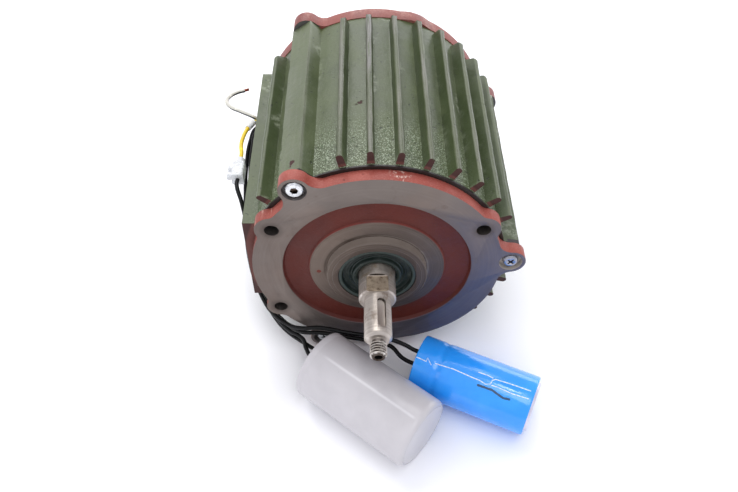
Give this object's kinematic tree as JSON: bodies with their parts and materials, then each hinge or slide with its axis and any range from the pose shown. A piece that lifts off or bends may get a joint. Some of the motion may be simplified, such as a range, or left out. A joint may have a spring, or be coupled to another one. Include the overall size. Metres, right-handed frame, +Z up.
{
  "type": "electric motor",
  "caption": "Finned single-phase electric motor with a flange, keyed and threaded stepped shaft, centrifugal starting switch, and two capacitors on leads.",
  "frame": {"origin": "centre of the machined flange face, on the shaft axis", "axes": "-Y along the shaft towards its threaded end, +Z up with the lowest fins and the capacitors on the ground, +X to the right as seen from the shaft end"},
  "size_m": [0.2124, 0.2598, 0.1715],
  "materials": {
    "green_paint": "worn semi-gloss enamel on cast iron",
    "red_oxide_paint": "red oxide primer, machined where it seats",
    "zinc_steel": "zinc plated",
    "seal_rubber": "moulded rubber",
    "spring_steel": "drawn wire",
    "electrical_steel": "stacked laminations",
    "copper_wire": "varnished enamelled copper",
    "cast_aluminium": "die cast",
    "turned_steel": "turned and ground, light stains",
    "bearing_steel": "ground and hardened",
    "cage_brass": "pressed",
    "sheet_steel": "pressed sheet, zinc plated",
    "black_plastic": "moulded",
    "phenolic": "moulded phenolic",
    "contact_brass": "spring brass",
    "grey_plastic": "smooth moulded case",
    "potting_resin": "poured resin",
    "can_aluminium": "drawn can",
    "blue_sleeve": "glossy shrink sleeve",
    "black_insulation": "extruded insulation",
    "white_insulation": "extruded insulation",
    "yellow_insulation": "extruded insulation",
    "clear_sleeve": "clear varnished tube",
    "clear_plastic": "translucent moulded plastic"
  },
  "bodies": {
    "stator": {"stator_frame": "green_paint", "front_shield": "red_oxide_paint", "rear_shield": "red_oxide_paint", "front_socket_screw": "zinc_steel", "front_cross_screws": "zinc_steel", "rear_shield_screws": "zinc_steel", "shaft_seal": "seal_rubber", "seal_garter_spring": "spring_steel", "stator_core": "electrical_steel", "main_winding": "copper_wire", "start_winding": "copper_wire", "front_bearing_outer_race": "bearing_steel", "rear_bearing_outer_race": "bearing_steel", "preload_washer": "spring_steel", "switch_plate": "phenolic", "switch_plate_screws": "zinc_steel", "contact_arm_pin": "turned_steel", "fixed_contact": "contact_brass", "run_capacitor_case": "grey_plastic", "run_capacitor_potting": "potting_resin", "start_capacitor_can": "can_aluminium", "start_capacitor_sleeve": "blue_sleeve", "start_capacitor_header": "black_plastic", "run_lead_low": "black_insulation", "run_lead_high": "black_insulation", "start_lead_low": "black_insulation", "start_lead_high": "black_insulation", "white_lead": "white_insulation", "yellow_lead": "yellow_insulation", "yellow_lead_sleeve": "clear_sleeve", "terminal_block_body": "clear_plastic", "terminal_block_tube": "contact_brass", "terminal_block_screws": "zinc_steel"},
    "rotor": {"shaft": "turned_steel", "rotor_core": "electrical_steel", "rotor_cage": "cast_aluminium", "front_bearing_inner_race": "bearing_steel", "rear_bearing_inner_race": "bearing_steel", "governor_base": "sheet_steel", "governor_pivot_pins": "turned_steel"},
    "front_ball_set": {"front_bearing_balls": "bearing_steel", "front_bearing_cage": "cage_brass"},
    "rear_ball_set": {"rear_bearing_balls": "bearing_steel", "rear_bearing_cage": "cage_brass"},
    "governor_sleeve": {"governor_spool": "black_plastic"},
    "weight_a": {"governor_weight_a": "sheet_steel"},
    "weight_b": {"governor_weight_b": "sheet_steel"},
    "switch_arm": {"contact_arm": "contact_brass"}
  },
  "joints": [
    {"name": "rotor_spin", "type": "hinge", "parent": "stator", "child": "rotor", "pos_m": [0, 0, 0], "axis": [0, -1, 0], "continuous": true},
    {"name": "front_cage_orbit", "type": "hinge", "parent": "stator", "child": "front_ball_set", "pos_m": [0, 0, 0], "axis": [0, -1, 0], "continuous": true},
    {"name": "rear_cage_orbit", "type": "hinge", "parent": "stator", "child": "rear_ball_set", "pos_m": [0, 0, 0], "axis": [0, -1, 0], "continuous": true},
    {"name": "governor_slide", "type": "slide", "parent": "rotor", "child": "governor_sleeve", "axis": [0, -1, 0], "range_m": [0, 0.004], "stiffness_N_per_m": 1500, "springref_m": -0.004},
    {"name": "weight_a_swing", "type": "hinge", "parent": "rotor", "child": "weight_a", "pos_m": [0.029, 0.1276, 0], "axis": [0, 0, 1], "range_deg": [0, 17.8]},
    {"name": "weight_b_swing", "type": "hinge", "parent": "rotor", "child": "weight_b", "pos_m": [-0.029, 0.1276, 0], "axis": [0, 0, -1], "range_deg": [0, 17.8]},
    {"name": "switch_arm_swing", "type": "hinge", "parent": "stator", "child": "switch_arm", "pos_m": [0, 0.1395, 0.0375], "axis": [-1, 0, 0], "range_deg": [0, 11.5]}
  ],
  "couplings": [
    {"joint": "front_cage_orbit", "follows": "rotor_spin", "ratio": 0.3969},
    {"joint": "rear_cage_orbit", "follows": "rotor_spin", "ratio": 0.3815},
    {"joint": "weight_a_swing", "follows": "governor_slide", "rad_per_m": 77.2},
    {"joint": "weight_b_swing", "follows": "governor_slide", "rad_per_m": 77.2},
    {"joint": "switch_arm_swing", "follows": "governor_slide", "rad_per_m": 50.1}
  ]
}
